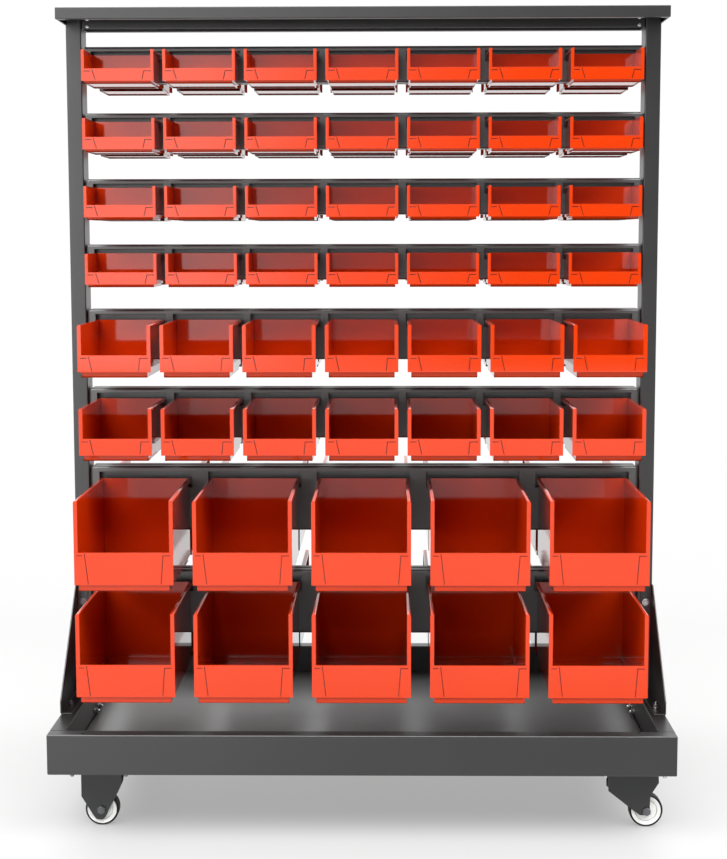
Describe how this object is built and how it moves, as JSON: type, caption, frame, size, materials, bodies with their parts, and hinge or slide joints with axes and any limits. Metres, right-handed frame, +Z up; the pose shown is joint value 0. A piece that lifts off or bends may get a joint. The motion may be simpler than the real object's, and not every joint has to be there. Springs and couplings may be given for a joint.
{
  "type": "mobile bin cart",
  "caption": "Double-sided cart on casters that holds rows of open-front plastic bins on steel rails above a tray base, with a small top tray.",
  "frame": {"origin": "on the floor under the middle of the cart", "axes": "+Z up, the front faces -Y, +X to the right seen from the front"},
  "size_m": [0.925, 0.581, 1.221],
  "materials": {
    "frame_steel": "satin dark grey powder coat",
    "rail_steel": "satin dark grey powder coat",
    "bin_plastic": "smooth glossy moulded plastic",
    "fork_paint": "satin black",
    "zinc": "bright zinc plate",
    "wheel_plastic": "smooth white plastic with a black tread"
  },
  "bodies": {
    "frame": {"base_front_rail": "frame_steel", "base_rear_rail": "frame_steel", "base_left_rail": "frame_steel", "base_right_rail": "frame_steel", "base_floor": "frame_steel", "left_upright": "frame_steel", "right_upright": "frame_steel", "front_left_gusset": "frame_steel", "front_right_gusset": "frame_steel", "rear_left_gusset": "frame_steel", "rear_right_gusset": "frame_steel", "top_tray": "frame_steel", "top_beam": "frame_steel", "bin_rail_1": "rail_steel", "bin_rail_2": "rail_steel", "bin_rail_3": "rail_steel", "bin_rail_4": "rail_steel", "bin_rail_5": "rail_steel", "bin_rail_6": "rail_steel", "bin_rail_7": "rail_steel", "bin_rail_8": "rail_steel", "front_rigid_fork": "fork_paint", "rear_rigid_fork": "fork_paint", "front_rigid_axle": "zinc", "rear_rigid_axle": "zinc", "front_swivel_plate": "zinc", "rear_swivel_plate": "zinc"},
    "front_rigid_wheel": {"front_rigid_wheel": "wheel_plastic"},
    "rear_rigid_wheel": {"rear_rigid_wheel": "wheel_plastic"},
    "front_swivel_fork": {"front_swivel_fork": "fork_paint", "front_swivel_axle": "zinc"},
    "front_swivel_wheel": {"front_swivel_wheel": "wheel_plastic"},
    "rear_swivel_fork": {"rear_swivel_fork": "fork_paint", "rear_swivel_axle": "zinc"},
    "rear_swivel_wheel": {"rear_swivel_wheel": "wheel_plastic"},
    "bin_5_1": {"bin_5_1": "bin_plastic"},
    "bin_5_2": {"bin_5_2": "bin_plastic"},
    "bin_5_3": {"bin_5_3": "bin_plastic"},
    "bin_5_4": {"bin_5_4": "bin_plastic"},
    "bin_5_5": {"bin_5_5": "bin_plastic"},
    "bin_5_6": {"bin_5_6": "bin_plastic"},
    "bin_5_7": {"bin_5_7": "bin_plastic"},
    "bin_6_1": {"bin_6_1": "bin_plastic"},
    "bin_6_2": {"bin_6_2": "bin_plastic"},
    "bin_6_3": {"bin_6_3": "bin_plastic"},
    "bin_6_4": {"bin_6_4": "bin_plastic"},
    "bin_6_5": {"bin_6_5": "bin_plastic"},
    "bin_6_6": {"bin_6_6": "bin_plastic"},
    "bin_6_7": {"bin_6_7": "bin_plastic"},
    "bin_7_1": {"bin_7_1": "bin_plastic"},
    "bin_7_2": {"bin_7_2": "bin_plastic"},
    "bin_7_3": {"bin_7_3": "bin_plastic"},
    "bin_7_4": {"bin_7_4": "bin_plastic"},
    "bin_7_5": {"bin_7_5": "bin_plastic"},
    "bin_8_1": {"bin_8_1": "bin_plastic"},
    "bin_8_2": {"bin_8_2": "bin_plastic"},
    "bin_8_3": {"bin_8_3": "bin_plastic"},
    "bin_8_4": {"bin_8_4": "bin_plastic"},
    "bin_8_5": {"bin_8_5": "bin_plastic"}
  },
  "joints": [
    {"name": "front_rigid_wheel_spin", "type": "hinge", "parent": "frame", "child": "front_rigid_wheel", "pos_m": [-0.39, -0.2185, 0.025], "axis": [0, 1, 0], "continuous": true},
    {"name": "rear_rigid_wheel_spin", "type": "hinge", "parent": "frame", "child": "rear_rigid_wheel", "pos_m": [-0.39, 0.2185, 0.025], "axis": [0, 1, 0], "continuous": true},
    {"name": "front_swivel", "type": "hinge", "parent": "frame", "child": "front_swivel_fork", "pos_m": [0.404, -0.2185, 0.085], "axis": [0, 0, 1], "continuous": true},
    {"name": "front_swivel_wheel_spin", "type": "hinge", "parent": "front_swivel_fork", "child": "front_swivel_wheel", "pos_m": [0.424, -0.2185, 0.025], "axis": [0, 1, 0], "continuous": true},
    {"name": "rear_swivel", "type": "hinge", "parent": "frame", "child": "rear_swivel_fork", "pos_m": [0.404, 0.2185, 0.085], "axis": [0, 0, 1], "continuous": true},
    {"name": "rear_swivel_wheel_spin", "type": "hinge", "parent": "rear_swivel_fork", "child": "rear_swivel_wheel", "pos_m": [0.424, 0.2185, 0.025], "axis": [0, 1, 0], "continuous": true},
    {"name": "bin_5_1_pull", "type": "slide", "parent": "frame", "child": "bin_5_1", "axis": [0, -0.9925, 0.1219], "range_m": [0, 0.21]},
    {"name": "bin_5_2_pull", "type": "slide", "parent": "frame", "child": "bin_5_2", "axis": [0, -0.9925, 0.1219], "range_m": [0, 0.21]},
    {"name": "bin_5_3_pull", "type": "slide", "parent": "frame", "child": "bin_5_3", "axis": [0, -0.9925, 0.1219], "range_m": [0, 0.21]},
    {"name": "bin_5_4_pull", "type": "slide", "parent": "frame", "child": "bin_5_4", "axis": [0, -0.9925, 0.1219], "range_m": [0, 0.21]},
    {"name": "bin_5_5_pull", "type": "slide", "parent": "frame", "child": "bin_5_5", "axis": [0, -0.9925, 0.1219], "range_m": [0, 0.21]},
    {"name": "bin_5_6_pull", "type": "slide", "parent": "frame", "child": "bin_5_6", "axis": [0, -0.9925, 0.1219], "range_m": [0, 0.21]},
    {"name": "bin_5_7_pull", "type": "slide", "parent": "frame", "child": "bin_5_7", "axis": [0, -0.9925, 0.1219], "range_m": [0, 0.21]},
    {"name": "bin_6_1_pull", "type": "slide", "parent": "frame", "child": "bin_6_1", "axis": [0, -0.9925, 0.1219], "range_m": [0, 0.21]},
    {"name": "bin_6_2_pull", "type": "slide", "parent": "frame", "child": "bin_6_2", "axis": [0, -0.9925, 0.1219], "range_m": [0, 0.21]},
    {"name": "bin_6_3_pull", "type": "slide", "parent": "frame", "child": "bin_6_3", "axis": [0, -0.9925, 0.1219], "range_m": [0, 0.21]},
    {"name": "bin_6_4_pull", "type": "slide", "parent": "frame", "child": "bin_6_4", "axis": [0, -0.9925, 0.1219], "range_m": [0, 0.21]},
    {"name": "bin_6_5_pull", "type": "slide", "parent": "frame", "child": "bin_6_5", "axis": [0, -0.9925, 0.1219], "range_m": [0, 0.21]},
    {"name": "bin_6_6_pull", "type": "slide", "parent": "frame", "child": "bin_6_6", "axis": [0, -0.9925, 0.1219], "range_m": [0, 0.21]},
    {"name": "bin_6_7_pull", "type": "slide", "parent": "frame", "child": "bin_6_7", "axis": [0, -0.9925, 0.1219], "range_m": [0, 0.21]},
    {"name": "bin_7_1_pull", "type": "slide", "parent": "frame", "child": "bin_7_1", "axis": [0, -0.9925, 0.1219], "range_m": [0, 0.28]},
    {"name": "bin_7_2_pull", "type": "slide", "parent": "frame", "child": "bin_7_2", "axis": [0, -0.9925, 0.1219], "range_m": [0, 0.28]},
    {"name": "bin_7_3_pull", "type": "slide", "parent": "frame", "child": "bin_7_3", "axis": [0, -0.9925, 0.1219], "range_m": [0, 0.28]},
    {"name": "bin_7_4_pull", "type": "slide", "parent": "frame", "child": "bin_7_4", "axis": [0, -0.9925, 0.1219], "range_m": [0, 0.28]},
    {"name": "bin_7_5_pull", "type": "slide", "parent": "frame", "child": "bin_7_5", "axis": [0, -0.9925, 0.1219], "range_m": [0, 0.28]},
    {"name": "bin_8_1_pull", "type": "slide", "parent": "frame", "child": "bin_8_1", "axis": [0, -0.9925, 0.1219], "range_m": [0, 0.28]},
    {"name": "bin_8_2_pull", "type": "slide", "parent": "frame", "child": "bin_8_2", "axis": [0, -0.9925, 0.1219], "range_m": [0, 0.28]},
    {"name": "bin_8_3_pull", "type": "slide", "parent": "frame", "child": "bin_8_3", "axis": [0, -0.9925, 0.1219], "range_m": [0, 0.28]},
    {"name": "bin_8_4_pull", "type": "slide", "parent": "frame", "child": "bin_8_4", "axis": [0, -0.9925, 0.1219], "range_m": [0, 0.28]},
    {"name": "bin_8_5_pull", "type": "slide", "parent": "frame", "child": "bin_8_5", "axis": [0, -0.9925, 0.1219], "range_m": [0, 0.28]}
  ]
}
